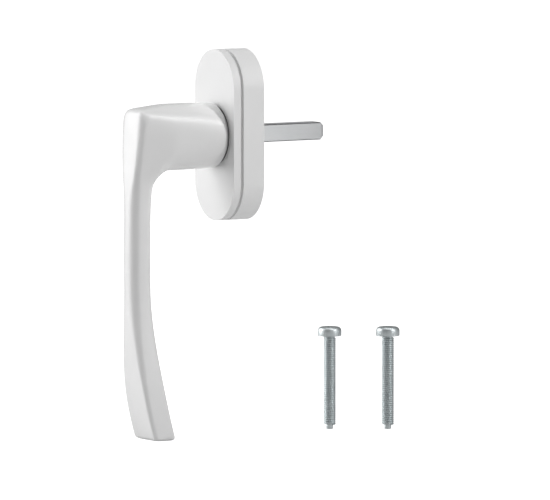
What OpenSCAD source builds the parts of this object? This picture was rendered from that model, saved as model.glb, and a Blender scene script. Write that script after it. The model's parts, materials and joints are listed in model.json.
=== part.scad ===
// Tilt-and-turn window handle: a lever on a round neck, an oval rosette with a cover
// that turns aside over its two fixing holes, a square spindle and two loose screws.
// X runs across the sash, +Y into the sash and +Z up. The origin is on the spindle's
// axis, in the plane of the rosette's back, which lies on the sash.

/* [Rosette] */
// Width of the rosette across its straight sides
rosette_w = 31.5; // [30:0.5:42]
// Height of the rosette over its round ends
rosette_h = 68.6; // [64:0.2:90]
// Thickness of the base housing, from the sash to its shoulder
base_t = 9.4; // [8.8:0.1:14]
// Height of the shadow seam between the base and the cover's rim
seam_t = 1.3; // [0.8:0.1:2.5]
// How far the shadow seam is set back from the outline
seam_depth = 1.2; // [0.6:0.1:2]
// Rounding of the base's back edge
base_back_round = 1.0; // [0.3:0.1:2]
// Rounding of the base's front shoulder
base_front_round = 0.5; // [0.2:0.1:1]

/* [Cover] */
// Thickness of the cover, from its rim to its front face
cover_t = 3.2; // [2.8:0.1:6]
// Thickness of the cover's front wall
cover_roof = 1.5; // [1:0.1:1.8]
// Thickness of the cover's rim
cover_rim = 1.6; // [1:0.1:1.7]
// Rounding of the cover's front edge
cover_round = 0.8; // [0.3:0.1:1.2]
// Rounding of the cover's rim beside the shadow seam
rim_round = 0.2; // [0.1:0.1:0.6]
// How far the cover turns aside, in each direction, in degrees
cover_turn = 90; // [0:1:180]
// Wall of the clip ring that the cover turns on
clip_wall = 0.8; // [0.6:0.1:1]
// Width of the slit in the clip ring
clip_slit = 2; // [1:0.5:5]

/* [Neck and journal] */
// How far the neck's end laps over the cover's round hole
neck_lap = 1.04; // [0.8:0.02:2]
// Gap between the neck's end and the cover
neck_gap = 1.3; // [0.8:0.1:2.5]
// Diameter of the journal that turns in the base
journal_d = 15; // [14:0.1:18]
// Depth of the journal's two driving flats
flat_depth = 1.5; // [1:0.1:1.8]
// Depth of the groove for the circlip
groove_depth = 0.9; // [0.6:0.1:1]
// Wall of the bush around the journal
bush_wall = 1.24; // [1:0.02:1.6]
// Thickness of the bush's flange
bush_flange = 0.7; // [0.5:0.1:1.2]
// Wall of the boss that holds the bush
boss_wall = 2.2; // [1.6:0.1:2.4]

/* [Lever] */
// How far the lever's lower end hangs below the spindle's axis
lever_drop = 120.8; // [95:1:150]
// How far the lever's front face stands off the sash, where it is highest
lever_reach = 54.3; // [48:0.1:70]
// Height of the elbow's front corner above the axis
elbow_rise = 11.2; // [10:0.1:13]
// Half height of the neck at the elbow
neck_rise = 13.4; // [13:0.1:16]
// Radius of the inner fillet between neck and grip
elbow_fillet = 7; // [5:0.5:10]
// How far below the axis the grip is slimmest
waist_drop = 45; // [38:1:60]
// How far the front face leans back at the elbow
bow_top = 2.2; // [0:0.1:4]
// How far the front face curves back at the lower end
bow_end = 8.2; // [2:0.1:12]
// Width of the grip at the elbow
grip_w_top = 14.8; // [13:0.1:20]
// Width of the grip at its waist
grip_w_waist = 10.8; // [10:0.1:18]
// Width of the grip at its lower end
grip_w_end = 18.2; // [13:0.1:22]
// Depth of the grip at the elbow
grip_d_top = 9.4; // [8:0.1:11]
// Depth of the grip at its waist
grip_d_waist = 9.7; // [7:0.1:11]
// Depth of the grip at its lower end
grip_d_end = 10.2; // [7:0.1:12]
// Rounding of the lower end's edge
tip_round = 1.4; // [0.6:0.1:2]

/* [Spindle] */
// Width across the spindle's flats
spindle_w = 7; // [6:0.1:8.5]
// How far the spindle stands out behind the rosette
spindle_out = 35; // [25:1:60]
// How deep the spindle sits in the neck, from the rosette's back
spindle_in = 12; // [10:0.5:13]
// Length of the spindle's bevelled nose
nose_l = 1.8; // [1:0.1:3]
// Width of the nose's end
nose_w = 4.5; // [3:0.1:5.5]
// Diameter of the cross pin that holds the spindle
pin_d = 2.5; // [2:0.1:3]

/* [Detent] */
// Wall of the square detent cam beside the journal
cam_wall = 1; // [0.8:0.1:1.2]
// How far the cam's corners are rounded off
cam_corner_cut = 1.42; // [1:0.02:1.6]
// Thickness of the cam
cam_t = 2.1; // [1.8:0.1:2.2]
// Thickness of the leaf springs' steel
spring_t = 0.5; // [0.3:0.05:0.6]
// Length of the leaf springs
spring_l = 29; // [27:0.5:30]
// Room for a leaf spring to bow outwards
spring_room = 0.9; // [0.6:0.1:1.2]
// Thickness of the thrust washer
washer_t = 0.5; // [0.3:0.05:0.6]
// Thickness of the circlip
circlip_t = 0.8; // [0.6:0.1:1]

/* [Back plate] */
// Thickness of the back plate
plate_t = 1.2; // [1:0.1:1.5]
// Width of the base's edge around the back plate
plate_margin = 1.5; // [1.2:0.1:2.5]
// Distance of the rivets from the axis, across the sash
rivet_x = 9.8; // [9:0.1:10.5]
// Distance of the rivets from the axis, up and down
rivet_z = 19.5; // [19:0.1:21]
// Diameter of the rivets
rivet_d = 2.4; // [2:0.1:3]
// Thickness of the back plate left straight under the rivets' countersinks
rivet_land = 0.2; // [0.1:0.05:0.4]

/* [Fixing] */
// Distance between the two fixing holes
fixing_pitch = 43; // [42:0.5:54]
// Diameter of the holes for the fixing screws
fixing_hole_d = 5.3; // [5.2:0.1:6]
// Outside diameter of the steel ferrules
ferrule_d = 8; // [7.5:0.1:8.5]
// Diameter of the counterbores for the screw heads
counterbore_d = 10; // [9.8:0.1:10.8]
// Depth of the counterbores below the cover's inside
counterbore_depth = 3.9; // [3.8:0.1:5]
// Thread diameter of the fixing screws
screw_d = 5; // [4:0.1:5.2]
// Length of the fixing screws under the head, tip included
screw_l = 37.6; // [20:0.1:60]
// Diameter of the screw heads
screw_head_d = 9.5; // [8:0.1:9.6]
// Height of the screw heads
screw_head_h = 3.7; // [2.5:0.1:3.7]
// Distance of the nearer loose screw from the plane of the rosette's back
screw_stand_y = 40; // [38:1:60]
// Distance between the two loose screws
screw_stand_pitch = 23.4; // [15:0.1:60]

/* [Hidden] */
$fn = 64;

// Clearances.
run_fit = 0.06;      // a part that turns in another
clip_fit = 0.08;     // the cover and its clip ring
loose_fit = 0.05;    // parts of one group that are put together by hand
face_gap = 0.1;      // flat faces that run past each other
safe_gap = 0.3;      // parts that never touch
side_gap = 0.35;     // the clip ring's flange and the inside of the cover
plate_room = 0.4;    // the journal's end and the back plate
groove_lip = 0.4;    // journal left beyond the circlip's groove
spindle_room = 0.65; // the spindle's corners and the back plate's hole
slot_fit = 0.12;     // the leaf springs' ends in their slots
pin_fit = 0.02;      // the cross pin and the rivets in their holes
cut = 1;             // how far a cutter runs past the face that it opens

// Heights above the sash, measured towards the room.
rim_z = base_t + seam_t;
platform_z = rim_z - safe_gap;
cover_z = rim_z + cover_t;
roof_under_z = cover_z - cover_roof;
neck_z = cover_z + neck_gap;
boss_z = neck_z - face_gap - bush_flange;
journal_end_z = plate_t + plate_room;
circlip_z = journal_end_z + groove_lip;
cam_z = circlip_z + circlip_t + face_gap;
washer_z = cam_z + cam_t + face_gap;
pocket_z = washer_z + washer_t + face_gap;
seat_z = platform_z - counterbore_depth;
pin_z = (pocket_z + spindle_in) / 2;

// Radii.
end_r = rosette_w / 2;
end_y = rosette_h / 2 - end_r;
journal_r = journal_d / 2;
bush_in_r = journal_r + run_fit;
bush_out_r = bush_in_r + bush_wall;
boss_r = bush_out_r + boss_wall;
clip_in_r = boss_r + clip_fit;
clip_out_r = clip_in_r + clip_wall;
cover_hole_r = clip_out_r + clip_fit;
flange_r = end_r - cover_rim - side_gap;
neck_r = cover_hole_r + neck_lap;
flat_x = journal_r - flat_depth;
cam_w = 2 * (journal_r + cam_wall);
cam_corner_r = cam_w / sqrt(2) - cam_corner_cut;
pocket_r = cam_corner_r + spring_t + spring_room;
groove_r = journal_r - groove_depth;
spring_x = cam_w / 2 + loose_fit;
spring_h = cam_t - 2 * face_gap;
spindle_clear_r = spindle_w / sqrt(2) + spindle_room;

// The lever's body is a row of rings with round corners, joined one to the next.
corner_steps = 8;
pivot_z = -neck_rise - elbow_fillet;
pivot_y = -lever_reach + bow_at(-pivot_z) + grip_d_top + elbow_fillet;
front_v = grip_d_top + elbow_fillet;
top_v = neck_rise + elbow_fillet + neck_rise;
front_lean = (bow_at(-elbow_rise) - bow_at(-pivot_z)) / (elbow_rise - pivot_z);
top_lean = (neck_rise - elbow_rise) / front_v;
corner_sharpness = 22;   // the higher, the crisper the elbow's front corner
end_straight = 12;       // length of the grip's lower end that keeps its width
waist_half = 15;         // half the length of the waist, which keeps its width
neck_steps = 8;
neck_end_w = 10.6;       // half width of the neck where the elbow starts
neck_side = 0.86;        // share of the neck's half width that is rounded there
neck_top = 0.76;         // share of its half height that is rounded there
elbow_round = 3.1;       // rounding of the elbow's long edges
grip_steps = 22;

steel = [0.74, 0.75, 0.77];
white = [0.95, 0.95, 0.95];

// ---- Helpers ----

// Turns a shape drawn on the sash, with its height along Z, to face the room.
module on_sash() {
    rotate([90, 0, 0]) children();
}

// Points of a quarter round from one angle, about a centre.
function quarter(centre, r, from_angle) = [
    for (i = [0:5]) centre + r * [cos(from_angle + 18 * i), sin(from_angle + 18 * i)]
];

// Outline, from the axis outwards, of a plate with two rounded edges.
function plate_outline(r, low, high, low_round, high_round) = concat(
    [[0, low]],
    quarter([r - low_round, low + low_round], low_round, -90),
    quarter([r - high_round, high - high_round], high_round, 0),
    [[0, high]]
);

// An oval plate of two half turns and a straight stretch, from the outline of its edge.
module oval_plate(outline) {
    for (side = [0, 1])
        mirror([0, side, 0])
            translate([0, end_y, 0]) rotate_extrude(angle = 180) polygon(outline);
    for (side = [0, 1])
        mirror([side, 0, 0])
            translate([0, end_y, 0])
                rotate([90, 0, 0]) linear_extrude(2 * end_y) polygon(outline);
}

// A plain oval slab, set in from the rosette's outline.
module oval_slab(inset, low, high) {
    r = end_r - inset;
    for (side = [-1, 1])
        translate([0, side * end_y, low]) cylinder(r = r, h = high - low);
    translate([-r, -end_y, low]) cube([2 * r, 2 * end_y, high - low]);
}

module tube(outer_r, inner_r, low, high) {
    translate([0, 0, low])
        difference() {
            cylinder(r = outer_r, h = high - low);
            translate([0, 0, -cut]) cylinder(r = inner_r, h = high - low + 2 * cut);
        }
}

module at_fixings() {
    for (side = [-1, 1])
        translate([0, side * fixing_pitch / 2, 0]) children();
}

module at_rivets() {
    for (side_x = [-1, 1], side_z = [-1, 1])
        translate([side_x * rivet_x, side_z * rivet_z, 0]) children();
}

// ---- Lever ----

function ease(t) = let (c = min(max(t, 0), 1)) c * c * (3 - 2 * c);
function mix(a, b, t) = a + (b - a) * t;

// How far the front face lies behind its highest point, at a distance below the axis.
function bow_at(drop) = drop < waist_drop
    ? bow_top * pow((waist_drop - drop) / (waist_drop + elbow_rise), 2)
    : bow_end * pow((drop - waist_drop) / (lever_drop - waist_drop), 2.9);

// A size of the grip at a distance below the axis, from its three stations.
function grip_size(drop, top, waist, end) = drop < waist_drop
    ? mix(top, waist, ease(drop / (waist_drop - waist_half)))
    : mix(waist, end, ease((drop - waist_drop - waist_half)
        / (lever_drop - end_straight - waist_drop - waist_half)));

// One ring: a rectangle whose corners are quarter ellipses.
function ring(half_w, half_d, round_w, round_d) = [
    for (q = [0:3], i = [0:corner_steps - 1])
        let (a = 90 * q + 90 * (i + 0.5) / corner_steps,
             side_w = (q == 0 || q == 3) ? 1 : -1,
             side_d = q < 2 ? 1 : -1)
        [side_w * (half_w - round_w) + round_w * cos(a),
         side_d * (half_d - round_d) + round_d * sin(a)]
];

// Places a ring: its second direction leans from straight up, at 0, to the front, at 90.
function placed(points, y, z, lean) = [
    for (p = points) [p[0], y - p[1] * sin(lean), z + p[1] * cos(lean)]
];

// The neck, from its round end to the elbow.
function neck_ring(i) =
    let (t = i / neck_steps,
         half_w = mix(neck_r, neck_end_w, t),
         half_d = mix(neck_r, neck_rise, ease(3 * t)))
    placed(ring(half_w, half_d, half_w * mix(1, neck_side, t), half_d * mix(1, neck_top, t)),
        mix(-neck_z, pivot_y, t), 0, 0);

// The elbow, in rings that fan about the inner fillet's centre.
elbow_leans = [6, 12, 16, 19, 21.5, 23.5, 25, 26.5, 28.5, 31, 35, 41, 49, 58, 68, 79];
function elbow_out(lean) = pow(
    pow((cos(lean) + top_lean * sin(lean)) / top_v, corner_sharpness)
        + pow((sin(lean) + front_lean * cos(lean)) / front_v, corner_sharpness),
    -1 / corner_sharpness);
function elbow_ring(lean) =
    let (t = lean / 90,
         half_w = mix(grip_size(-pivot_z, grip_w_top, grip_w_waist, grip_w_end) / 2,
                      neck_end_w, pow(1 - t, 1.3)),
         half_d = (elbow_out(lean) - elbow_fillet) / 2,
         mid = elbow_fillet + half_d,
         fade = pow(1 - t, 3))
    placed(ring(half_w, half_d, mix(elbow_round, half_w * neck_side, fade),
                mix(elbow_round, half_d * neck_top, fade)),
        pivot_y - mid * sin(lean), pivot_z + mid * cos(lean), lean);

// The grip, in level rings from the elbow down to the lower end.
function grip_ring(drop, shrink) =
    let (half_w = grip_size(drop, grip_w_top, grip_w_waist, grip_w_end) / 2 - shrink,
         half_d = grip_size(drop, grip_d_top, grip_d_waist, grip_d_end) / 2,
         round_w = min(grip_size(drop, 2.6, 4.8, 2.2), half_w),
         round_d = min(grip_size(drop, 2.8, 3.8, 2.2), half_d - shrink),
         front = -lever_reach + bow_at(drop))
    placed(ring(half_w, half_d - shrink, round_w, round_d), front + half_d, -drop, 90);

lever_rings = concat(
    [for (i = [0:neck_steps]) neck_ring(i)],
    [for (lean = elbow_leans) elbow_ring(lean)],
    [for (i = [0:grip_steps]) grip_ring(mix(-pivot_z, lever_drop - tip_round, i / grip_steps), 0)],
    [for (a = [30, 60, 90])
        grip_ring(lever_drop - tip_round * (1 - sin(a)), tip_round * (1 - cos(a)))]
);

// Closes a row of rings into one solid.
module skin(rings) {
    n = len(rings[0]);
    last = len(rings) - 1;
    sides = [
        for (k = [0:last - 1], i = [0:n - 1], half = [0, 1])
            let (a = k * n + i, b = k * n + (i + 1) % n)
            half == 0 ? [a, b + n, b] : [a, a + n, b + n]
    ];
    ends = [
        [for (i = [0:n - 1]) i],
        [for (i = [n - 1:-1:0]) last * n + i]
    ];
    polyhedron(points = [for (r = rings) each r], faces = concat(sides, ends));
}

// The journal: round where it turns, with two flats that drive the cam, a groove for
// the circlip, a square socket for the spindle and a cross hole for its pin.
module journal() {
    socket_w = spindle_w + 2 * loose_fit;
    difference() {
        translate([0, 0, journal_end_z])
            cylinder(r = journal_r, h = neck_z + cut - journal_end_z);
        for (side = [0, 1])
            mirror([side, 0, 0])
                translate([flat_x, -journal_d, journal_end_z - cut])
                    cube([journal_d, 2 * journal_d, washer_z - journal_end_z + cut]);
        tube(journal_d, groove_r, circlip_z - loose_fit, circlip_z + circlip_t + loose_fit);
        translate([-socket_w / 2, -socket_w / 2, journal_end_z - cut])
            cube([socket_w, socket_w, spindle_in + loose_fit - journal_end_z + cut]);
        cross_hole();
    }
}

module cross_hole() {
    translate([0, 0, pin_z])
        rotate([0, 90, 0]) cylinder(d = pin_d + 2 * pin_fit, h = 2 * journal_d, center = true);
}

module lever() color(white) {
    skin(lever_rings);
    on_sash() journal();
}

// ---- Parts that turn with the lever ----

// Outline of the spindle along its length, seen from one side.
spindle_outline = [
    [-spindle_in, -spindle_w / 2],
    [spindle_out - nose_l, -spindle_w / 2],
    [spindle_out, -nose_w / 2],
    [spindle_out, nose_w / 2],
    [spindle_out - nose_l, spindle_w / 2],
    [-spindle_in, spindle_w / 2]
];

module spindle() color(steel) {
    difference() {
        intersection() {
            rotate([0, 0, 90])
                linear_extrude(2 * spindle_w, center = true) polygon(spindle_outline);
            rotate([0, 90, 0]) rotate([0, 0, 90])
                linear_extrude(2 * spindle_w, center = true) polygon(spindle_outline);
        }
        on_sash() cross_hole();
    }
}

module spindle_pin() color(steel) {
    on_sash() translate([0, 0, pin_z])
        rotate([0, 90, 0]) cylinder(d = pin_d, h = journal_d - 2 * safe_gap, center = true);
}

module detent_cam() color("darkgray") {
    hole_x = flat_x + loose_fit;
    on_sash() translate([0, 0, cam_z])
        difference() {
            intersection() {
                translate([-cam_w / 2, -cam_w / 2, 0]) cube([cam_w, cam_w, cam_t]);
                cylinder(r = cam_corner_r, h = cam_t);
            }
            intersection() {
                translate([0, 0, -cut]) cylinder(r = journal_r + loose_fit, h = cam_t + 2 * cut);
                translate([-hole_x, -journal_d, -cut])
                    cube([2 * hole_x, 2 * journal_d, cam_t + 2 * cut]);
            }
        }
}

module thrust_washer() color("tan") {
    on_sash() tube(cam_corner_r, journal_r + run_fit, washer_z, washer_z + washer_t);
}

// An open ring with two eyes for the pliers.
module circlip() color("dimgray") {
    ring_r = groove_r + loose_fit;
    band = 1.9;
    eye_r = 1.5;
    eye_hole_r = 0.6;
    eye_x = 2.1;
    eye_y = ring_r + band;
    opening = 1.2;
    on_sash() translate([0, 0, circlip_z])
        difference() {
            union() {
                cylinder(r = ring_r + band, h = circlip_t);
                for (side = [-1, 1])
                    translate([side * eye_x, -eye_y, 0]) cylinder(r = eye_r, h = circlip_t);
            }
            translate([0, 0, -cut]) cylinder(r = ring_r, h = circlip_t + 2 * cut);
            translate([-opening / 2, -2 * eye_y, -cut])
                cube([opening, 2 * eye_y, circlip_t + 2 * cut]);
            for (side = [-1, 1])
                translate([side * eye_x, -eye_y, -cut])
                    cylinder(r = eye_hole_r, h = circlip_t + 2 * cut);
        }
}

// ---- Fixed parts of the rosette ----

module neck_bush() color("gray") {
    on_sash() {
        tube(bush_out_r, bush_in_r, pocket_z, boss_z);
        tube(boss_r, bush_in_r, boss_z, boss_z + bush_flange);
    }
}

// Slots on both sides of the pocket that hold the leaf springs' ends.
module spring_slots() {
    slot_l = spring_l + 2 * safe_gap;
    for (side = [0, 1])
        mirror([side, 0, 0])
            translate([spring_x - slot_fit, -slot_l / 2, plate_t - cut])
                cube([spring_t + 2 * slot_fit, slot_l, pocket_z - plate_t + cut]);
}

module base_housing() color(white) {
    on_sash() difference() {
        union() {
            oval_plate(plate_outline(end_r, 0, base_t, base_back_round, base_front_round));
            oval_slab(seam_depth, base_t - cut, platform_z);
            cylinder(r = boss_r, h = boss_z);
        }
        oval_slab(plate_margin, -cut, plate_t);
        translate([0, 0, plate_t - cut]) cylinder(r = pocket_r, h = pocket_z - plate_t + cut);
        translate([0, 0, pocket_z - cut]) cylinder(r = bush_out_r, h = boss_z);
        spring_slots();
        at_fixings() {
            cylinder(d = ferrule_d, h = platform_z);
            translate([0, 0, seat_z]) cylinder(d = counterbore_d, h = platform_z);
        }
        at_rivets() cylinder(d = rivet_d, h = pocket_z);
    }
}

module back_plate() color(steel) {
    on_sash() difference() {
        oval_slab(plate_margin + loose_fit, 0, plate_t);
        translate([0, 0, -cut]) cylinder(r = spindle_clear_r, h = plate_t + 2 * cut);
        at_fixings() translate([0, 0, -cut]) cylinder(d = fixing_hole_d, h = plate_t + 2 * cut);
        at_rivets() rivet_shape(pin_fit);
    }
}

// A countersunk rivet, with a margin for the hole that it goes through.
module rivet_shape(margin) {
    head_h = plate_t - rivet_land;
    translate([0, 0, -margin])
        cylinder(r1 = rivet_d / 2 + head_h + margin, r2 = rivet_d / 2 + margin, h = head_h + margin);
    cylinder(d = rivet_d + 2 * margin, h = pocket_z - safe_gap);
}

module back_plate_rivets() color("gainsboro") {
    on_sash() at_rivets() rivet_shape(0);
}

// A flat spring that bears on the cam, with its two ends in the housing's slots.
module leaf_spring(side) {
    on_sash() translate([side * (spring_x + spring_t / 2), 0, cam_z + face_gap + spring_h / 2])
        cube([spring_t, spring_l, spring_h], center = true);
}

module detent_spring_left() color("slategray") leaf_spring(-1);
module detent_spring_right() color("slategray") leaf_spring(1);

module ferrule(side) {
    on_sash() translate([0, side * fixing_pitch / 2, 0])
        tube(ferrule_d / 2, fixing_hole_d / 2, plate_t, seat_z);
}

module screw_ferrule_upper() color("silver") ferrule(1);
module screw_ferrule_lower() color("silver") ferrule(-1);

// ---- Cover ----

module cover_cap() color(white) {
    on_sash() difference() {
        oval_plate(plate_outline(end_r, rim_z, cover_z, rim_round, cover_round));
        oval_slab(cover_rim, rim_z - cut, roof_under_z);
        cylinder(r = cover_hole_r, h = cover_z + cut);
    }
}

// The clip ring grips the boss, carries the cover and lets it turn.
module cover_clip_ring() color("dimgray") {
    low = platform_z + face_gap;
    flange_top = roof_under_z - face_gap;
    hub_top = cover_z - face_gap;
    on_sash() difference() {
        union() {
            tube(clip_out_r, clip_in_r, low, hub_top);
    tube(flange_r, clip_in_r, low, flange_top);
        }
        translate([-clip_slit / 2, 0, 0]) cube([clip_slit, 2 * clip_out_r, cover_z]);
    }
}

// ---- Loose fixing screws, standing on their tips beside the spindle ----

screw_stand_x = -1;
screw_row_turn = 30;      // of the screws' row, from the spindle's line
tip_l = 1.4;
tip_d = 2.7;
bevel = 0.5;
dome = 1.6;
dome_reach = 1.6 * dome;

// Outline of half a pan-head screw, tip down.
function screw_outline() =
    let (head_r = screw_head_d / 2, r = screw_d / 2, side = screw_head_h - dome)
    concat(
        [[0, 0], [tip_d / 2, 0], [tip_d / 2, tip_l], [r - bevel, tip_l], [r, tip_l + bevel],
         [r, screw_l], [head_r, screw_l]],
        [for (a = [0:15:90])
            [mix(head_r - dome_reach, head_r, cos(a)), screw_l + side + dome * sin(a)]],
        [[0, screw_l + screw_head_h]]
    );

// Cross recess: two blades that narrow towards the bottom.
module cross_recess() {
    depth = 2.4;
    blade_t = 1;
    top_r = 2.5;
    bottom_r = 1.2;
    for (turn = [0, 90])
        intersection() {
            rotate([0, 0, turn])
                translate([-blade_t / 2, -screw_head_d / 2, -depth])
                    cube([blade_t, screw_head_d, depth + cut]);
            translate([0, 0, -depth])
                cylinder(r1 = bottom_r, r2 = top_r, h = depth + pin_fit);
        }
}

module fixing_screw(place) {
    top = screw_l + screw_head_h;
    reach = place * screw_stand_pitch;
    x = screw_stand_x + reach * sin(screw_row_turn);
    y = screw_stand_y + reach * cos(screw_row_turn);
    translate([x, y, -lever_drop])
        difference() {
            rotate_extrude() polygon(screw_outline());
            translate([0, 0, top]) rotate([0, 0, 45]) cross_recess();
        }
}

module fixing_screw_one() color(steel) fixing_screw(0);
module fixing_screw_two() color(steel) fixing_screw(1);

lever();
spindle();
spindle_pin();
neck_bush();
base_housing();
back_plate();
back_plate_rivets();
detent_cam();
detent_spring_left();
detent_spring_right();
thrust_washer();
circlip();
cover_cap();
cover_clip_ring();
screw_ferrule_upper();
screw_ferrule_lower();
fixing_screw_one();
fixing_screw_two();
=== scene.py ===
"""A tilt-and-turn window handle: its painted lever, oval rosette, square spindle and two loose screws.

Everything is in metres, with +X across the sash, +Y into the sash and +Z up.
"""

import json
import math

import bmesh
import bpy
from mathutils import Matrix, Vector

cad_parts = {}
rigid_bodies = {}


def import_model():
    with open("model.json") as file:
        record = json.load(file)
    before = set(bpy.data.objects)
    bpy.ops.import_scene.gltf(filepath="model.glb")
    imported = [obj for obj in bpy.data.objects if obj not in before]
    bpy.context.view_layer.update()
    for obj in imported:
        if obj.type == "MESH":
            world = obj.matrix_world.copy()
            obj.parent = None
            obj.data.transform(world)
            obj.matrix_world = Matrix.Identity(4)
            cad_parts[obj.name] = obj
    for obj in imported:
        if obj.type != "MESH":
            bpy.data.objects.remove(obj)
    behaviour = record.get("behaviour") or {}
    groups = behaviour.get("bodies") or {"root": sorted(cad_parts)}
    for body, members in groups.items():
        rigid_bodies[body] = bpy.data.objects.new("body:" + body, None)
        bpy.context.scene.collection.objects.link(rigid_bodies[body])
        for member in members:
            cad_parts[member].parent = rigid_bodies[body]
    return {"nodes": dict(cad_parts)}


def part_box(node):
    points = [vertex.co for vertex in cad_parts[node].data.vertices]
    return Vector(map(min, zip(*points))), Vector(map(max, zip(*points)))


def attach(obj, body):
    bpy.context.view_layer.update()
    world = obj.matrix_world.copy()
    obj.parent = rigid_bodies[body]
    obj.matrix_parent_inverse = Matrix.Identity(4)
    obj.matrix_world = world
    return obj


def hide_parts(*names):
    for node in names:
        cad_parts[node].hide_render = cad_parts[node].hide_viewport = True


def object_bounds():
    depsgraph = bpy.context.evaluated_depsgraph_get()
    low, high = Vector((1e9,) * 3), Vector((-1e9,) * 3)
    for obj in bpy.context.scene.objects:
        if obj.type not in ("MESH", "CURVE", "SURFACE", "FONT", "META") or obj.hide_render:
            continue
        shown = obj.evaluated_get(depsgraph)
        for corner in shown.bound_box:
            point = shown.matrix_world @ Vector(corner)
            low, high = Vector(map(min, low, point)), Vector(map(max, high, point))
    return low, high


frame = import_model()
cad_low, cad_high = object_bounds()

MM = 0.001

# ---- Sizes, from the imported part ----

lever_low, lever_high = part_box("lever")
base_low, base_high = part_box("base_housing")
cover_low, cover_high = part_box("cover_cap")
spindle_low, spindle_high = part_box("spindle")
bush_low, bush_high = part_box("neck_bush")
washer_low, washer_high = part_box("thrust_washer")
circlip_low, circlip_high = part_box("circlip")
ferrule_low, ferrule_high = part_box("screw_ferrule_upper")
plate_front_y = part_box("back_plate")[0].y

# How far a cutter runs past the face that it opens, and how near counts as the same place.
CUT = 1.0 * MM
SAME_PLACE = 0.001 * MM

# The rosette is an oval: two half rounds and a straight stretch.
END_R = (base_high.x - base_low.x) / 2
END_Z = (base_high.z - base_low.z) / 2 - END_R
OVAL_SIDES = 96

# The base: its shoulder, the step inside the seam and the room for its inner pieces.
SHOULDER_Y = -9.4 * MM
SEAM_DEPTH = 1.2 * MM
PLATFORM_Y = cover_high.y + 0.3 * MM
BACK_ROUND = 1.0 * MM
SHOULDER_ROUND = 0.5 * MM
STEP_ROUND = 0.15 * MM
PLATE_MARGIN = 1.5 * MM
POCKET_Y = washer_low.y - 0.1 * MM
POCKET_R = 12.0 * MM
BOSS_R = bush_high.x
BUSH_R = 8.8 * MM
BUSH_FLANGE = 0.7 * MM
SLOT_FIT = 0.12 * MM
SLOT_END = 0.3 * MM
FIXING_Z = (ferrule_low.z + ferrule_high.z) / 2
FERRULE_R = (ferrule_high.x - ferrule_low.x) / 2
COUNTERBORE_R = 5.0 * MM

# The cover.
HOLE_R = 11.96 * MM
COVER_WALL = 1.5 * MM
COVER_RIM = 1.6 * MM
COVER_ROUND = 0.8 * MM
RIM_ROUND = 0.2 * MM
INNER_ROUND = 0.4 * MM

# The lever's body, as distances from the sash and from the spindle's axis.
NECK_R = 13.0 * MM
NECK_Y = -15.2 * MM
DROP = -lever_low.z
REACH = -lever_low.y
ELBOW_RISE = 11.2 * MM
NECK_RISE = 13.4 * MM
NECK_END_W = 10.6 * MM
FILLET = 7.0 * MM
WAIST = 45.0 * MM
WAIST_HALF = 15.0 * MM
END_STRAIGHT = 12.0 * MM
BOW_TOP = 2.2 * MM
BOW_END = 8.2 * MM
BOW_POWER = 2.9
TIP_ROUND = 1.4 * MM

# The grip's section at the elbow, the waist and the lower end.
WIDTHS = (14.8 * MM, 10.8 * MM, 18.2 * MM)
DEPTHS = (9.4 * MM, 9.7 * MM, 10.2 * MM)
ROUND_WIDTHS = (2.6 * MM, 4.8 * MM, 2.2 * MM)
ROUND_DEPTHS = (2.8 * MM, 3.8 * MM, 2.2 * MM)

# The neck's rounding where the elbow starts, as shares of its half width and half height.
# Then the elbow's long edges, how early it takes the grip's width, and its front corner.
NECK_SIDE = 0.86
NECK_TOP = 0.76
ELBOW_ROUND = 3.1 * MM
ELBOW_TAPER = 1.3
CORNER_SHARPNESS = 22

# The journal, the turned end of the lever inside the rosette.
JOURNAL_R = 7.5 * MM
FLAT_X = 6.0 * MM
GROOVE_DEPTH = 0.9 * MM
SOCKET_HALF = (spindle_high.x - spindle_low.x) / 2 + 0.05 * MM

# The spindle's long edges and its nose.
SPINDLE_EASE = 0.35 * MM
NOSE_L = 1.8 * MM
NOSE_W = 4.5 * MM
NOSE_SHARE = NOSE_W / (spindle_high.x - spindle_low.x)

# The screws: head, cross recess, M5 thread and tip.
HEAD_H = 3.7 * MM
HEAD_DOME = 1.6 * MM
HEAD_EASE = 0.15 * MM
RECESS_DEPTH = 2.4 * MM
RECESS_REACH = 2.5 * MM
RECESS_HALF = 0.5 * MM
CREST_R = 2.5 * MM
ROOT_R = 2.1 * MM
PITCH = 0.8 * MM
TIP_R = 1.35 * MM
TIP_L = 1.4 * MM
TIP_EASE = 0.25 * MM


# ---- Working in edit mode ----

def deselect():
    """Leaves edit mode and clears the selection, hidden pieces included."""
    if bpy.context.mode != "OBJECT":
        bpy.ops.object.mode_set(mode="OBJECT")
    for thing in bpy.context.view_layer.objects:
        thing.select_set(False)


def activate(piece):
    """Selects one piece and makes it the active one."""
    deselect()
    piece.select_set(True)
    bpy.context.view_layer.objects.active = piece
    return piece


def edit(piece, kind="VERT"):
    """Opens a piece in edit mode with nothing selected."""
    activate(piece)
    bpy.ops.object.mode_set(mode="EDIT")
    bpy.ops.mesh.select_mode(type=kind)
    bpy.ops.mesh.select_all(action="DESELECT")


def pick(test, kind="verts"):
    """Selects the vertices, edges or faces of the open piece that pass a test on their middle."""
    mesh = bmesh.from_edit_mesh(bpy.context.edit_object.data)
    for vert in mesh.verts:
        vert.select_set(False)
    for item in getattr(mesh, kind):
        if kind == "verts":
            middle = item.co
        elif kind == "edges":
            middle = (item.verts[0].co + item.verts[1].co) / 2
        else:
            middle = item.calc_center_median()
        if test(middle):
            item.select_set(True)
    mesh.select_flush_mode()
    bmesh.update_edit_mesh(bpy.context.edit_object.data)


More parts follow.
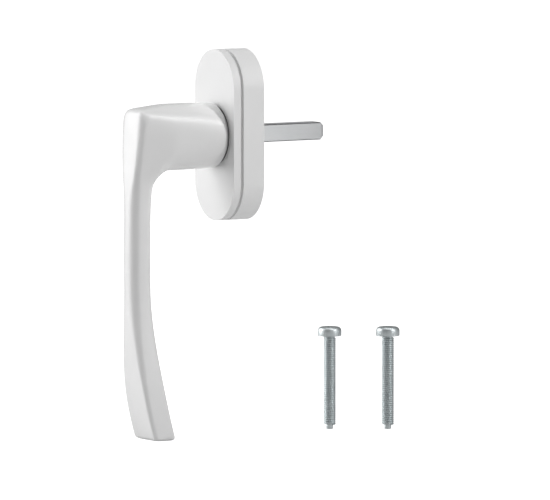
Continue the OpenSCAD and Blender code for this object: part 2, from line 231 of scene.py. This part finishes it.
def pick_rim(y, least=0.0):
    """Selects the edges in the plane at y, from a distance of the oval's middle line outwards."""
    mesh = bmesh.from_edit_mesh(bpy.context.edit_object.data)
    for edge in mesh.edges:
        ends = [vert.co for vert in edge.verts]
        flat = all(abs(end.y - y) < SAME_PLACE for end in ends)
        edge.select_set(flat and all(oval_distance(end) >= least for end in ends))
    bmesh.update_edit_mesh(bpy.context.edit_object.data)


def oval_distance(point):
    """Distance of a point from the oval's straight middle line."""
    past = max(abs(point.z) - END_Z, 0.0)
    return math.hypot(point.x, past)


def done(piece, angle=35):
    """Closes a piece: faces outwards, place in the mesh, smooth where it is round."""
    if bpy.context.mode == "OBJECT":
        edit(piece)
    bpy.ops.mesh.select_all(action="SELECT")
    bpy.ops.mesh.remove_doubles(threshold=1e-7)
    bpy.ops.mesh.normals_make_consistent(inside=False)
    activate(piece)
    bpy.ops.object.transform_apply(location=True, rotation=True, scale=True)
    bpy.ops.object.shade_smooth_by_angle(angle=math.radians(angle))
    return piece


def modify(piece, kind, **settings):
    """Adds a modifier with its settings and applies it."""
    activate(piece)
    modifier = piece.modifiers.new(kind.title(), kind)
    for name, value in settings.items():
        setattr(modifier, name, value)
    bpy.ops.object.modifier_apply(modifier=modifier.name)


def carve(piece, cutter, how="DIFFERENCE"):
    """Cuts one solid with another, or joins them, and removes the second."""
    modify(piece, "BOOLEAN", object=cutter, operation=how, solver="EXACT")
    bpy.data.objects.remove(cutter, do_unlink=True)
    return piece


def rod(name, radius, start_y, end_y, z=0.0, sides=96):
    """A round bar along Y, as a start for turned shapes and as a drill."""
    deselect()
    bpy.ops.mesh.primitive_cylinder_add(
        vertices=sides, radius=radius, depth=abs(end_y - start_y),
        location=(0, (start_y + end_y) / 2, z), rotation=(math.radians(90), 0, 0))
    piece = bpy.context.object
    piece.name = name
    bpy.ops.object.transform_apply(location=True, rotation=True, scale=True)
    return piece


def post(name, radius, low_z, high_z, x=0.0, y=0.0, sides=32):
    """A round bar that stands upright, as a start for the screws' parts."""
    deselect()
    bpy.ops.mesh.primitive_cylinder_add(
        vertices=sides, radius=radius, depth=high_z - low_z, location=(x, y, (low_z + high_z) / 2))
    piece = bpy.context.object
    piece.name = name
    bpy.ops.object.transform_apply(location=True, rotation=True, scale=True)
    return piece


def block(name, low, high):
    """A block between two corners."""
    deselect()
    bpy.ops.mesh.primitive_cube_add(size=1.0, location=(Vector(low) + Vector(high)) / 2)
    piece = bpy.context.object
    piece.name = name
    piece.scale = Vector(high) - Vector(low)
    bpy.ops.object.transform_apply(location=True, rotation=True, scale=True)
    return piece


def oval_plate(name, radius, start_y, end_y):
    """A flat oval solid between two planes."""
    deselect()
    bpy.ops.mesh.primitive_circle_add(
        vertices=OVAL_SIDES, radius=radius, fill_type="NGON",
        location=(0, start_y, 0), rotation=(math.radians(90), math.pi / OVAL_SIDES, 0))
    piece = bpy.context.object
    piece.name = name
    bpy.ops.object.transform_apply(location=True, rotation=True, scale=True)
    edit(piece)
    for side in (1, -1):
        pick(lambda co: co.z * side > 0 and abs(co.z) < radius * 1.01)
        bpy.ops.transform.translate(value=(0, 0, side * END_Z))
    bpy.ops.mesh.select_all(action="SELECT")
    bpy.ops.mesh.extrude_region_move(TRANSFORM_OT_translate={"value": (0, end_y - start_y, 0)})
    bpy.ops.mesh.select_all(action="SELECT")
    bpy.ops.mesh.normals_make_consistent(inside=False)
    return piece


# ---- Lever ----

def ease(t):
    """A step from 0 to 1 that starts and ends gently."""
    t = min(max(t, 0.0), 1.0)
    return t * t * (3 - 2 * t)


def mix(a, b, t):
    """A value between two, at a share of the way."""
    return a + (b - a) * t


def bow_at(drop):
    """How far the front face lies behind its highest point, at a distance below the axis."""
    if drop < WAIST:
        return BOW_TOP * ((WAIST - drop) / (WAIST + ELBOW_RISE)) ** 2
    return BOW_END * ((drop - WAIST) / (DROP - WAIST)) ** BOW_POWER


def grip_size(drop, stations):
    """A size of the grip at a distance below the axis, from its three stations."""
    top, waist, end = stations
    if drop < WAIST:
        return mix(top, waist, ease(drop / (WAIST - WAIST_HALF)))
    start = WAIST + WAIST_HALF
    return mix(waist, end, ease((drop - start) / (DROP - END_STRAIGHT - start)))


# The elbow turns about the centre of the fillet between neck and grip. Its front and top faces
# lie at these distances from that centre and lean as the neck's and the grip's faces do.
PIVOT_Z = -NECK_RISE - FILLET
FRONT_V = DEPTHS[0] + FILLET
TOP_V = 2 * NECK_RISE + FILLET
PIVOT_Y = -REACH + bow_at(-PIVOT_Z) + FRONT_V
FRONT_LEAN = (bow_at(-ELBOW_RISE) - bow_at(-PIVOT_Z)) / (ELBOW_RISE - PIVOT_Z)
TOP_LEAN = (NECK_RISE - ELBOW_RISE) / FRONT_V

# Points on each corner of a ring.
RING_STEPS = 6


def ring_points(half_w, half_d, round_w, round_d, y, z, lean):
    """A rectangle with elliptic corners, across the lever's line at a place and a lean."""
    points = []
    for quarter, (side_w, side_d) in enumerate(((1, 1), (-1, 1), (-1, -1), (1, -1))):
        for step in range(RING_STEPS):
            angle = math.radians(90) * (quarter + (step + 0.5) / RING_STEPS)
            w = side_w * (half_w - round_w) + round_w * math.cos(angle)
            d = side_d * (half_d - round_d) + round_d * math.sin(angle)
            points.append(Vector((w, y - d * math.sin(lean), z + d * math.cos(lean))))
    return points


def neck_ring(t):
    """A ring of the neck, at a share of the way from its round end to the elbow."""
    half_w = mix(NECK_R, NECK_END_W, t)
    half_d = mix(NECK_R, NECK_RISE, ease(3 * t))
    return ring_points(half_w, half_d, half_w * mix(1, NECK_SIDE, t), half_d * mix(1, NECK_TOP, t),
                       mix(NECK_Y, PIVOT_Y, t), 0.0, 0.0)


def elbow_ring(lean_deg):
    """A ring of the elbow, from level at 0 to upright against the front at 90 degrees."""
    lean = math.radians(lean_deg)
    t = lean_deg / 90
    to_top = (math.cos(lean) + TOP_LEAN * math.sin(lean)) / TOP_V
    to_front = (math.sin(lean) + FRONT_LEAN * math.cos(lean)) / FRONT_V
    out = (to_top ** CORNER_SHARPNESS + to_front ** CORNER_SHARPNESS) ** (-1 / CORNER_SHARPNESS)
    half_w = mix(grip_size(-PIVOT_Z, WIDTHS) / 2, NECK_END_W, (1 - t) ** ELBOW_TAPER)
    half_d = (out - FILLET) / 2
    middle = FILLET + half_d
    neck_share = (1 - t) ** 3
    return ring_points(half_w, half_d, mix(ELBOW_ROUND, half_w * NECK_SIDE, neck_share),
                       mix(ELBOW_ROUND, half_d * NECK_TOP, neck_share),
                       PIVOT_Y - middle * math.sin(lean), PIVOT_Z + middle * math.cos(lean), lean)


def grip_ring(drop, shrink=0.0):
    """A level ring of the grip, drawn in all round by shrink."""
    half_w = grip_size(drop, WIDTHS) / 2 - shrink
    half_d = grip_size(drop, DEPTHS) / 2
    round_w = min(grip_size(drop, ROUND_WIDTHS), half_w)
    round_d = min(grip_size(drop, ROUND_DEPTHS), half_d - shrink)
    return ring_points(half_w, half_d - shrink, round_w, round_d,
                       -REACH + bow_at(drop) + half_d, -drop, math.radians(90))


def neck_end(share):
    """A ring on the neck's flat end, at a share of its radius."""
    return [Vector((point.x * share, point.y, point.z * share)) for point in neck_ring(0.0)]


def add_ring(places, points):
    """Extrudes the selected end face and lays its corners on the next ring."""
    bpy.ops.mesh.extrude_region_move()
    mesh = bmesh.from_edit_mesh(bpy.context.edit_object.data)
    new_places = {}
    for vert in mesh.verts:
        if vert.select:
            index = places[tuple(vert.co)]
            vert.co = points[index]
            new_places[tuple(vert.co)] = index
    bmesh.update_edit_mesh(bpy.context.edit_object.data)
    return new_places


def lever_rings():
    """Every ring of the lever, close together where it turns sharply."""
    rings = [neck_end(share) for share in (0.93, 0.985)]
    rings += [neck_ring(t) for t in (0.006, 0.02, 0.05, 0.12, 0.25, 0.38, 0.5, 0.62, 0.75, 0.88, 1.0)]
    rings += [elbow_ring(lean) for lean in (7, 13, 17.5, 20.5, 23, 25, 27, 30, 34.5, 42, 52, 64, 77)]
    grip_steps = 16
    for step in range(grip_steps + 1):
        rings.append(grip_ring(mix(-PIVOT_Z, DROP - TIP_ROUND, step / grip_steps)))
    for turn in (25, 50, 75, 90):
        angle = math.radians(turn)
        rings.append(grip_ring(DROP - TIP_ROUND * (1 - math.sin(angle)), TIP_ROUND * (1 - math.cos(angle))))
    rings.append(grip_ring(DROP, TIP_ROUND * 1.3))
    return rings


def make_lever():
    """The neck, elbow and grip are drawn out from a round face, ring by ring."""
    first = neck_end(0.6)
    deselect()
    bpy.ops.mesh.primitive_circle_add(vertices=len(first), radius=NECK_R, fill_type="NGON")
    lever = bpy.context.object
    lever.name = "lever_casting"
    for vert, point in zip(lever.data.vertices, first):
        vert.co = point
    edit(lever, "FACE")
    bpy.ops.mesh.select_all(action="SELECT")
    mesh = bmesh.from_edit_mesh(lever.data)
    places = {tuple(vert.co): vert.index for vert in mesh.verts}
    for points in lever_rings():
        places = add_ring(places, points)
    done(lever)
    modify(lever, "SUBSURF", levels=2, render_levels=2)
    add_journal(lever)
    return done(lever, 40)


def socket():
    """A cutter for the square socket that the spindle sits in."""
    return block("socket", (-SOCKET_HALF, spindle_low.y, -SOCKET_HALF),
                 (SOCKET_HALF, lever_high.y + 10 * CUT, SOCKET_HALF))


def add_journal(lever):
    """The turned end inside the rosette, with its flats, circlip groove and square socket."""
    end_y = lever_high.y
    journal = rod("journal", JOURNAL_R, NECK_Y - CUT, end_y)
    for side in (1, -1):
        near_x, far_x = sorted((side * FLAT_X, side * 2 * JOURNAL_R))
        flat = block("flat", (near_x, washer_high.y, -2 * JOURNAL_R), (far_x, end_y + CUT, 2 * JOURNAL_R))
        carve(journal, flat)
    groove = rod("groove", JOURNAL_R * 1.5, circlip_low.y, circlip_high.y)
    carve(groove, rod("core", JOURNAL_R - GROOVE_DEPTH, circlip_low.y - CUT, circlip_high.y + CUT))
    carve(journal, groove)
    carve(journal, socket())
    carve(lever, journal, "UNION")
    carve(lever, socket())


# ---- Rosette ----

def make_cover():
    """A thin oval shell: face, rounded edge and rim, with a round hole for the neck."""
    cover = oval_plate("rosette_cover", END_R, cover_high.y, cover_low.y)
    pick_rim(cover_low.y)
    bpy.ops.mesh.bevel(offset=COVER_ROUND, segments=6, affect="EDGES")
    pick_rim(cover_high.y)
    bpy.ops.mesh.bevel(offset=RIM_ROUND, segments=2, affect="EDGES")
    deselect()
    inside = oval_plate("hollow", END_R - COVER_RIM, cover_high.y + CUT, cover_low.y + COVER_WALL)
    pick_rim(cover_low.y + COVER_WALL)
    bpy.ops.mesh.bevel(offset=INNER_ROUND, segments=3, affect="EDGES")
    deselect()
    carve(cover, inside)
    carve(cover, rod("hole", HOLE_R, cover_low.y - CUT, cover_high.y + CUT, sides=128))
    return done(cover)


def make_base():
    """The housing: an oval block with a stepped front, a round boss and two screw seats."""
    base = oval_plate("rosette_base", END_R, 0.0, SHOULDER_Y)
    pick(lambda co: abs(co.y - SHOULDER_Y) < SAME_PLACE, "faces")
    bpy.ops.mesh.inset(thickness=SEAM_DEPTH)
    bpy.ops.mesh.extrude_region_move(
        TRANSFORM_OT_translate={"value": (0, PLATFORM_Y - SHOULDER_Y, 0)})
    pick_rim(0.0)
    bpy.ops.mesh.bevel(offset=BACK_ROUND, segments=6, affect="EDGES")
    pick_rim(SHOULDER_Y, least=END_R - SEAM_DEPTH / 2)
    bpy.ops.mesh.bevel(offset=SHOULDER_ROUND, segments=4, affect="EDGES")
    pick_rim(PLATFORM_Y)
    bpy.ops.mesh.bevel(offset=STEP_ROUND, segments=2, affect="EDGES")
    deselect()
    boss = rod("boss", BOSS_R, SHOULDER_Y + 2 * MM, bush_low.y + BUSH_FLANGE, sides=128)
    carve(base, boss, "UNION")
    carve(base, oval_plate("plate_seat", END_R - PLATE_MARGIN, CUT, plate_front_y))
    carve(base, rod("pocket", POCKET_R, CUT, POCKET_Y))
    carve(base, rod("bore", BUSH_R, CUT, bush_low.y - CUT))
    for side, spring in ((1, "detent_spring_right"), (-1, "detent_spring_left")):
        cut_spring_slot(base, spring)
        cut_screw_seat(base, side * FIXING_Z)
    return done(base)


def cut_spring_slot(base, spring):
    """A slot from the back that holds a leaf spring's two ends."""
    spring_low, spring_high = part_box(spring)
    slot_low = (spring_low.x - SLOT_FIT, POCKET_Y, spring_low.z - SLOT_END)
    slot_high = (spring_high.x + SLOT_FIT, CUT, spring_high.z + SLOT_END)
    carve(base, block("slot", slot_low, slot_high))


def cut_screw_seat(base, z):
    """A hole for a ferrule and, in front of it, the counterbore for a screw's head."""
    front_y = PLATFORM_Y - CUT
    carve(base, rod("hole", FERRULE_R, CUT, front_y, z=z, sides=48))
    carve(base, rod("seat", COUNTERBORE_R, ferrule_low.y, front_y, z=z, sides=64))


# ---- Spindle and screws ----

def make_spindle():
    """A square bar with eased edges and a bevelled nose."""
    bar = block("square_spindle", spindle_low, spindle_high)
    edit(bar, "EDGE")
    pick(lambda co: spindle_low.y + CUT < co.y < spindle_high.y - CUT, "edges")
    bpy.ops.mesh.bevel(offset=SPINDLE_EASE, segments=3, affect="EDGES")
    bpy.ops.mesh.select_mode(type="FACE")
    pick(lambda co: abs(co.y - spindle_high.y) < SAME_PLACE, "faces")
    bpy.ops.mesh.extrude_region_move()
    bpy.ops.transform.resize(value=(NOSE_SHARE, 1, NOSE_SHARE), center_override=(0, spindle_high.y, 0))
    shoulder = (NOSE_SHARE + 1) / 2 * spindle_high.x
    pick(lambda co: abs(co.y - spindle_high.y) < SAME_PLACE and max(abs(co.x), abs(co.z)) > shoulder)
    bpy.ops.transform.translate(value=(0, -NOSE_L, 0))
    return done(bar)


def make_screw(name, node):
    """A pan-head machine screw that stands on its tip: head, rolled thread and tip."""
    low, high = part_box(node)
    middle = (low + high) / 2
    seat_z = high.z - HEAD_H
    screw = post(name, (high.x - low.x) / 2, seat_z, high.z, middle.x, middle.y, sides=64)
    edit(screw, "EDGE")
    pick(lambda co: abs(co.z - high.z) < SAME_PLACE, "edges")
    bpy.ops.mesh.bevel(offset=HEAD_DOME, segments=8, affect="EDGES")
    pick(lambda co: abs(co.z - seat_z) < SAME_PLACE, "edges")
    bpy.ops.mesh.bevel(offset=HEAD_EASE, segments=2, affect="EDGES")
    deselect()
    for turn in (45, 135):
        carve(screw, recess_blade(middle, high.z, math.radians(turn)))
    thread = make_thread(middle, low.z, seat_z)
    activate(screw)
    thread.select_set(True)
    bpy.ops.object.join()
    return done(screw, 40)


def recess_blade(middle, top, turn):
    """One blade of the cross recess, narrower at its bottom."""
    blade = block("blade", (-RECESS_REACH, -RECESS_HALF, -RECESS_DEPTH), (RECESS_REACH, RECESS_HALF, CUT))
    edit(blade)
    pick(lambda co: co.z < 0)
    bpy.ops.transform.resize(value=(0.45, 0.8, 1), center_override=(0, 0, -RECESS_DEPTH))
    activate(blade)
    blade.rotation_euler = (0, 0, turn)
    blade.location = (middle.x, middle.y, top)
    bpy.ops.object.transform_apply(location=True, rotation=True, scale=True)
    return blade


def make_thread(middle, tip_z, seat_z):
    """One turn's profile, swept up a helix, with a core inside it and a plain tip below."""
    turns = int((seat_z - tip_z - TIP_L - PITCH) / PITCH)
    start = tip_z + TIP_L + 0.1 * MM
    deselect()
    bpy.ops.mesh.primitive_circle_add(vertices=4, radius=1, fill_type="NOTHING")
    thread = bpy.context.object
    thread.name = "thread"
    edit(thread, "EDGE")
    pick(lambda co: co.x > 0 and co.y > 0, "edges")
    bpy.ops.mesh.delete(type="EDGE")
    deselect()
    profile = ((ROOT_R, 0.0), (CREST_R, 0.3), (CREST_R, 0.68), (ROOT_R, 0.98))
    for vert, (radius, share) in zip(thread.data.vertices, profile):
        vert.co = (radius, 0, start + share * PITCH)
    modify(thread, "SCREW", angle=math.radians(360), screw_offset=PITCH, iterations=turns,
           steps=32, render_steps=32, use_merge_vertices=True, merge_threshold=1e-6,
           use_normal_calculate=True, axis="Z")
    edit(thread, "EDGE")
    bpy.ops.mesh.select_non_manifold()
    bpy.ops.mesh.fill_holes(sides=0)
    tip = post("tip", TIP_R, tip_z, tip_z + TIP_L + 1 * MM)
    edit(tip, "EDGE")
    pick(lambda co: abs(co.z - tip_z) < SAME_PLACE, "edges")
    bpy.ops.mesh.bevel(offset=TIP_EASE, segments=2, affect="EDGES")
    core = post("core", ROOT_R, start + 0.2 * PITCH, seat_z + 0.5 * MM)
    activate(thread)
    tip.select_set(True)
    core.select_set(True)
    bpy.ops.object.join()
    thread.location = (middle.x, middle.y, 0)
    bpy.ops.object.transform_apply(location=True, rotation=True, scale=True)
    return thread


# ---- Materials ----

def colour(hex_code):
    """An sRGB hex colour as the linear values that a shader takes."""
    parts = [int(hex_code[i:i + 2], 16) / 255 for i in (1, 3, 5)]
    linear = [c / 12.92 if c <= 0.04045 else ((c + 0.055) / 1.055) ** 2.4 for c in parts]
    return (*linear, 1.0)


def add(tree, kind, links=(), **settings):
    """Adds a node. A setting is a property or, failing that, a socket's value."""
    node = tree.nodes.new(kind)
    for name, value in settings.items():
        if hasattr(node, name):
            setattr(node, name, value)
        else:
            node.inputs[name.replace("_", " ")].default_value = value
    for socket, source in dict(links).items():
        tree.links.new(source, node.inputs[socket])
    return node


def material(name, **shader):
    """A new material: itself, its tree, its shader and the object's own coordinates."""
    made = bpy.data.materials.new(name)
    made.use_nodes = True
    tree = made.node_tree
    tree.nodes.clear()
    surface = add(tree, "ShaderNodeBsdfPrincipled", **shader)
    add(tree, "ShaderNodeOutputMaterial", {"Surface": surface.outputs["BSDF"]})
    place = add(tree, "ShaderNodeTexCoord").outputs["Object"]
    return made, tree, surface, place


def drive(tree, surface, tone, gloss, relief):
    """Leads a pattern's tone, gloss and relief into the shader."""
    tree.links.new(tone.outputs["Result"], surface.inputs["Base Color"])
    tree.links.new(gloss.outputs["Result"], surface.inputs["Roughness"])
    tree.links.new(relief.outputs["Normal"], surface.inputs["Normal"])


def powder_coat():
    """Polyester powder coat, baked on a die-cast zinc lever.

    The melting powder flows out but keeps a faint orange peel, 1 to 2 mm across, so the long
    highlights on the neck and the grip waver softly at their edges. Where the coat is thicker
    it is a shade whiter and glossier, in clouds that a finger would cover.
    """
    made, tree, surface, place = material("powder_coated_die_cast_zinc", IOR=1.5)
    coat = add(tree, "ShaderNodeTexNoise", {"Vector": place}, Scale=1 / (14 * MM), Detail=2.0)
    peel = add(tree, "ShaderNodeTexNoise", {"Vector": place}, Scale=1 / (1.6 * MM), Detail=1.5,
               Roughness=0.4)
    tone = add(tree, "ShaderNodeMix", {"Factor": coat.outputs["Fac"]}, data_type="RGBA",
               A=colour("#EEEEEE"), B=colour("#F3F3F3"))
    gloss = add(tree, "ShaderNodeMapRange", {"Value": coat.outputs["Fac"]},
                From_Min=0.3, From_Max=0.7, To_Min=0.27, To_Max=0.22)
    relief = add(tree, "ShaderNodeBump", {"Height": peel.outputs["Fac"]}, Strength=0.35,
                 Distance=0.03 * MM)
    drive(tree, surface, tone, gloss, relief)
    return made


def moulded_plastic():
    """White ASA, moulded against finely spark-eroded steel.

    The eroded steel leaves an even, fine grain all over, so the rosette is satin where the
    lever is glossy and its highlights are broad and quiet. Slow drifts of tone come from the
    melt's flow. The real grain is about 0.1 mm; it is drawn three times coarser, so that
    it doesn't turn to noise in a picture.
    """
    made, tree, surface, place = material("moulded_asa_satin", IOR=1.52)
    flow = add(tree, "ShaderNodeTexNoise", {"Vector": place}, Scale=1 / (20 * MM), Detail=2.0)
    erosion = add(tree, "ShaderNodeTexNoise", {"Vector": place}, Scale=1 / (0.35 * MM), Detail=2.0,
                  Roughness=0.6)
    tone = add(tree, "ShaderNodeMix", {"Factor": flow.outputs["Fac"]}, data_type="RGBA",
               A=colour("#ECECEC"), B=colour("#F2F2F2"))
    gloss = add(tree, "ShaderNodeMapRange", {"Value": erosion.outputs["Fac"]},
                From_Min=0.3, From_Max=0.7, To_Min=0.36, To_Max=0.46)
    relief = add(tree, "ShaderNodeBump", {"Height": erosion.outputs["Fac"]}, Strength=0.3,
                 Distance=0.02 * MM)
    drive(tree, surface, tone, gloss, relief)
    return made


def acetal():
    """Dark grey acetal, moulded in one shot.

    The waxy resin leaves the mould matt, with a soft mottling and no clear reflections. The
    mould's real grain is about 0.15 mm and is drawn coarser here, at 0.5 mm.
    """
    made, tree, surface, place = material("moulded_acetal_grey", IOR=1.48)
    mottle = add(tree, "ShaderNodeTexNoise", {"Vector": place}, Scale=1 / (0.5 * MM), Detail=2.0)
    tone = add(tree, "ShaderNodeMix", {"Factor": mottle.outputs["Fac"]}, data_type="RGBA",
               A=colour("#656668"), B=colour("#767779"))
    gloss = add(tree, "ShaderNodeMapRange", {"Value": mottle.outputs["Fac"]},
                From_Min=0.3, From_Max=0.7, To_Min=0.45, To_Max=0.6)
    relief = add(tree, "ShaderNodeBump", {"Height": mottle.outputs["Fac"]}, Strength=0.25,
                 Distance=0.02 * MM)
    drive(tree, surface, tone, gloss, relief)
    return made


def metal(name, dark, light, smooth, rough, size_mm, stretch=(1, 1, 1), height_mm=0.01):
    """A metal with clouds of tone under fine marks, which may run one way.

    Its looks go from dark and smooth to light and rough. size_mm is the marks' width.
    """
    made, tree, surface, place = material(name, Metallic=1.0)
    run = add(tree, "ShaderNodeMapping", {"Vector": place}, Scale=stretch)
    marks = add(tree, "ShaderNodeTexNoise", {"Vector": run.outputs["Vector"]},
                Scale=1 / (size_mm * MM), Detail=4.0, Roughness=0.6)
    cloud = add(tree, "ShaderNodeTexNoise", {"Vector": place}, Scale=1 / (8 * size_mm * MM), Detail=2.0)
    both = add(tree, "ShaderNodeMath", {0: marks.outputs["Fac"], 1: cloud.outputs["Fac"]},
               operation="MULTIPLY_ADD")
    # The product of two patterns is low, so this lifts it to the middle of their range.
    both.inputs[2].default_value = 0.25
    tone = add(tree, "ShaderNodeMix", {"Factor": both.outputs["Value"]}, data_type="RGBA",
               A=colour(dark), B=colour(light))
    gloss = add(tree, "ShaderNodeMapRange", {"Value": both.outputs["Value"]},
                From_Min=0.3, From_Max=0.7, To_Min=smooth, To_Max=rough)
    relief = add(tree, "ShaderNodeBump", {"Height": marks.outputs["Fac"]}, Strength=0.4,
                 Distance=height_mm * MM)
    drive(tree, surface, tone, gloss, relief)
    return made


def finish_with(piece, made):
    """Gives a piece one material all over."""
    piece.data.materials.clear()
    piece.data.materials.append(made)


def refinish(node, made):
    """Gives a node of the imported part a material, in the slots that it has."""
    piece = frame["nodes"][node]
    if not piece.material_slots:
        piece.data.materials.append(made)
    for place in piece.material_slots:
        place.material = made


# ---- The object ----

white_paint = powder_coat()
white_plastic = moulded_plastic()
grey_plastic = acetal()
# Drawn through a square die, then zinc plated: fine lines run along the bar, and the plating
# dulls them to a satin streak. Real die lines are about 0.05 mm wide and are drawn coarser.
drawn_zinc = metal("zinc_plated_drawn_steel", "#CCCECF", "#E2E3E4",
                   smooth=0.5, rough=0.62, size_mm=0.6, stretch=(1, 0.12, 1))
# Headed, thread-rolled and zinc plated in a turning barrel: an even, slightly blue-green satin,
# with soft rubs along the shank where the screws knocked together.
rolled_zinc = metal("zinc_plated_rolled_screw", "#C2CACC", "#E0E5E6",
                    smooth=0.36, rough=0.52, size_mm=0.5, stretch=(1, 1, 0.3))
# Dipped in molten zinc: the cooling zinc sets in patches, some duller and some brighter.
sheet_zinc = metal("galvanised_sheet_steel", "#94989B", "#B9BCBE", smooth=0.32, rough=0.5, size_mm=1.2)
# Rolled and hardened strip, oiled: dark, smooth and blue-grey, with long rolling lines.
dark_spring = metal("oiled_spring_steel", "#3C3E41", "#595D61",
                    smooth=0.3, rough=0.45, size_mm=0.5, stretch=(1, 1, 0.15))
# Die-cast, tumbled and left bare: dull grey, with a fine, even grain from the stones. The real
# grain is about 0.05 mm and is drawn coarser.
cast_zinc = metal("tumbled_die_cast_zinc", "#58595C", "#7A7B7D",
                  smooth=0.5, rough=0.65, size_mm=0.3, height_mm=0.03)
# Pressed cold and left bare: pale and softly mottled, where the punch smeared the surface.
rivet_metal = metal("pressed_aluminium", "#B1B4B6", "#CECFD1", smooth=0.3, rough=0.42, size_mm=0.5)

pieces = [
    (make_lever(), "handle", "lever", "white_paint", white_paint),
    (make_cover(), "cover", "cover_cap", "white_plastic", white_plastic),
    (make_base(), "rosette", "base_housing", "white_plastic", white_plastic),
    (make_spindle(), "handle", "spindle", "zinc_steel", drawn_zinc),
    (make_screw("loose_screw_one", "fixing_screw_one"), "rosette", "fixing_screw_one", "zinc_steel",
     rolled_zinc),
    (make_screw("loose_screw_two", "fixing_screw_two"), "rosette", "fixing_screw_two", "zinc_steel",
     rolled_zinc),
]
for piece, body, node, slot, made in pieces:
    finish_with(piece, made)
    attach(piece, body)
    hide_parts(node)

for node in ("neck_bush", "cover_clip_ring", "thrust_washer"):
    refinish(node, grey_plastic)
for node in ("screw_ferrule_upper", "screw_ferrule_lower", "spindle_pin"):
    refinish(node, drawn_zinc)
for node in ("detent_spring_left", "detent_spring_right", "circlip"):
    refinish(node, dark_spring)
refinish("back_plate", sheet_zinc)
refinish("back_plate_rivets", rivet_metal)
refinish("detent_cam", cast_zinc)


# ---- Floor, light and camera ----

def make_floor():
    """A pale, slightly glossy table that glows a little, as a light table does."""
    deselect()
    bpy.ops.mesh.primitive_circle_add(vertices=96, radius=6.0, fill_type="NGON",
                                      location=(0, 0, cad_low.z - 0.1 * MM))
    floor = bpy.context.object
    floor.name = "floor"
    made, tree, surface, _ = material(
        "pale_table", Base_Color=colour("#DFDFDF"), Roughness=0.22, IOR=1.45,
        Emission_Color=(1.0, 1.0, 1.0, 1.0))
    seen = add(tree, "ShaderNodeLightPath").outputs["Is Camera Ray"]
    glow = add(tree, "ShaderNodeMapRange", {"Value": seen}, To_Min=0.0, To_Max=0.95)
    tree.links.new(glow.outputs["Result"], surface.inputs["Emission Strength"])
    floor.data.materials.append(made)


def make_light(name, spot, target, size, power, length=None):
    """A soft box at a place, turned to a target."""
    data = bpy.data.lights.new(name, "AREA")
    data.energy = power
    data.shape = "RECTANGLE"
    data.size = size
    data.size_y = length or size
    lamp = bpy.data.objects.new(name, data)
    bpy.context.scene.collection.objects.link(lamp)
    lamp.location = spot
    lamp.rotation_euler = (Vector(target) - Vector(spot)).to_track_quat("-Z", "Y").to_euler()
    return lamp


def make_world(light_level, backdrop_level):
    """Even grey light all round, with a white backdrop behind the object."""
    world = bpy.data.worlds.new("studio")
    bpy.context.scene.world = world
    world.use_nodes = True
    tree = world.node_tree
    tree.nodes.clear()
    seen = add(tree, "ShaderNodeLightPath").outputs["Is Camera Ray"]
    strength = add(tree, "ShaderNodeMapRange", {"Value": seen}, To_Min=light_level,
                   To_Max=backdrop_level)
    sky = add(tree, "ShaderNodeBackground", {"Strength": strength.outputs["Result"]},
              Color=(1.0, 1.0, 1.0, 1.0))
    add(tree, "ShaderNodeOutputWorld", {"Surface": sky.outputs["Background"]})


def make_camera(azimuth, elevation, distance, frame_width, right, up):
    """A long lens at an azimuth and an elevation. right and up place the picture's middle."""
    a, e = math.radians(azimuth), math.radians(elevation)
    back = Vector((math.sin(a) * math.cos(e), -math.cos(a) * math.cos(e), math.sin(e)))
    across = Vector((math.cos(a), math.sin(a), 0))
    upward = back.cross(across)
    data = bpy.data.cameras.new("camera")
    data.sensor_width = 36
    data.lens = data.sensor_width * distance / frame_width
    data.clip_start, data.clip_end = 0.05, 30
    camera = bpy.data.objects.new("camera", data)
    bpy.context.scene.collection.objects.link(camera)
    camera.location = across * right + upward * up + back * distance
    camera.rotation_euler = (-back).to_track_quat("-Z", "Y").to_euler()
    bpy.context.scene.camera = camera


middle = Vector((0, -0.01, -0.04))
make_floor()
make_light("front_box", (-0.8, -0.9, 0.36), middle, size=1.1, power=13.5)
make_light("top_box", (0.0, -0.1, 1.2), middle, size=0.8, power=3.4)
make_light("side_box", (1.02, 0.62, 0.2), middle, size=0.9, power=2.1)
make_light("neck_strip", Vector((0.66, 0.42, 0.62)) + middle, middle, size=0.04, power=4.2, length=1.2)
make_world(light_level=0.2, backdrop_level=1.05)
make_camera(azimuth=60, elevation=5, distance=5.0, frame_width=0.220, right=0.01216, up=-0.0466)
bpy.context.scene.view_settings.view_transform = "Standard"
